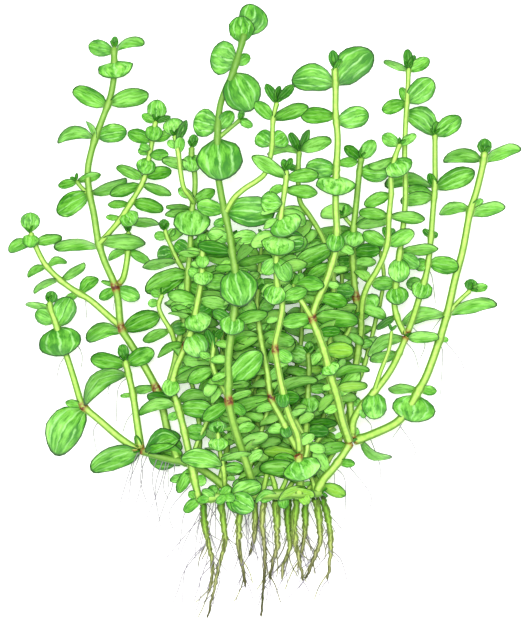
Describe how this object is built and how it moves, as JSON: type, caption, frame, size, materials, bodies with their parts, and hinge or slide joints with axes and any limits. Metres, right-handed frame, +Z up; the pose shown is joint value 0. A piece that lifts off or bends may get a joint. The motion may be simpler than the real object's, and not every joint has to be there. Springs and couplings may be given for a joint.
{
  "type": "lindernia bunch",
  "caption": "Bunch of a small round-leaved aquarium plant lying down: branching leafy shoots fan out from a short creeping base with tapered roots.",
  "frame": {"origin": "middle of the footprint's rectangle, on the surface the bunch lies on", "axes": "+Y from the root tips towards the shoot tips, +Z up away from the surface, +X to the right as seen from above"},
  "size_m": [0.1545, 0.184, 0.0415],
  "materials": {
    "stem_and_leaf": "soft green plant tissue with a faint waxy sheen",
    "root": "matt pale root skin turning olive-brown at the tips"
  },
  "bodies": {
    "root": {"creeping_base": "stem_and_leaf", "left_arm": "stem_and_leaf", "centre_trunk": "stem_and_leaf", "right_trunk": "stem_and_leaf", "right_upper_trunk": "stem_and_leaf", "shoot_lower_left": "stem_and_leaf", "shoot_lower_left_inner": "stem_and_leaf", "shoot_left_tall": "stem_and_leaf", "shoot_left_inner": "stem_and_leaf", "shoot_left_small": "stem_and_leaf", "shoot_far_left": "stem_and_leaf", "shoot_left_back": "stem_and_leaf", "shoot_left_twig": "stem_and_leaf", "shoot_left_slim": "stem_and_leaf", "shoot_left_forked": "stem_and_leaf", "shoot_left_centre": "stem_and_leaf", "shoot_low_small": "stem_and_leaf", "shoot_tallest": "stem_and_leaf", "shoot_inner_left": "stem_and_leaf", "shoot_upper_centre": "stem_and_leaf", "shoot_centre_plain": "stem_and_leaf", "shoot_centre_veined": "stem_and_leaf", "shoot_low_centre": "stem_and_leaf", "shoot_centre_tall": "stem_and_leaf", "shoot_centre_small": "stem_and_leaf", "shoot_centre_slim": "stem_and_leaf", "shoot_right_centre": "stem_and_leaf", "shoot_right_pair": "stem_and_leaf", "shoot_right_inner": "stem_and_leaf", "shoot_right_outer": "stem_and_leaf", "shoot_right_tall": "stem_and_leaf", "root_01": "root", "root_02": "root", "root_03": "root", "root_04": "root", "root_05": "root", "root_06": "root", "root_07": "root", "root_08": "root", "root_09": "root", "root_10": "root", "root_11": "root"}
  },
  "joints": []
}
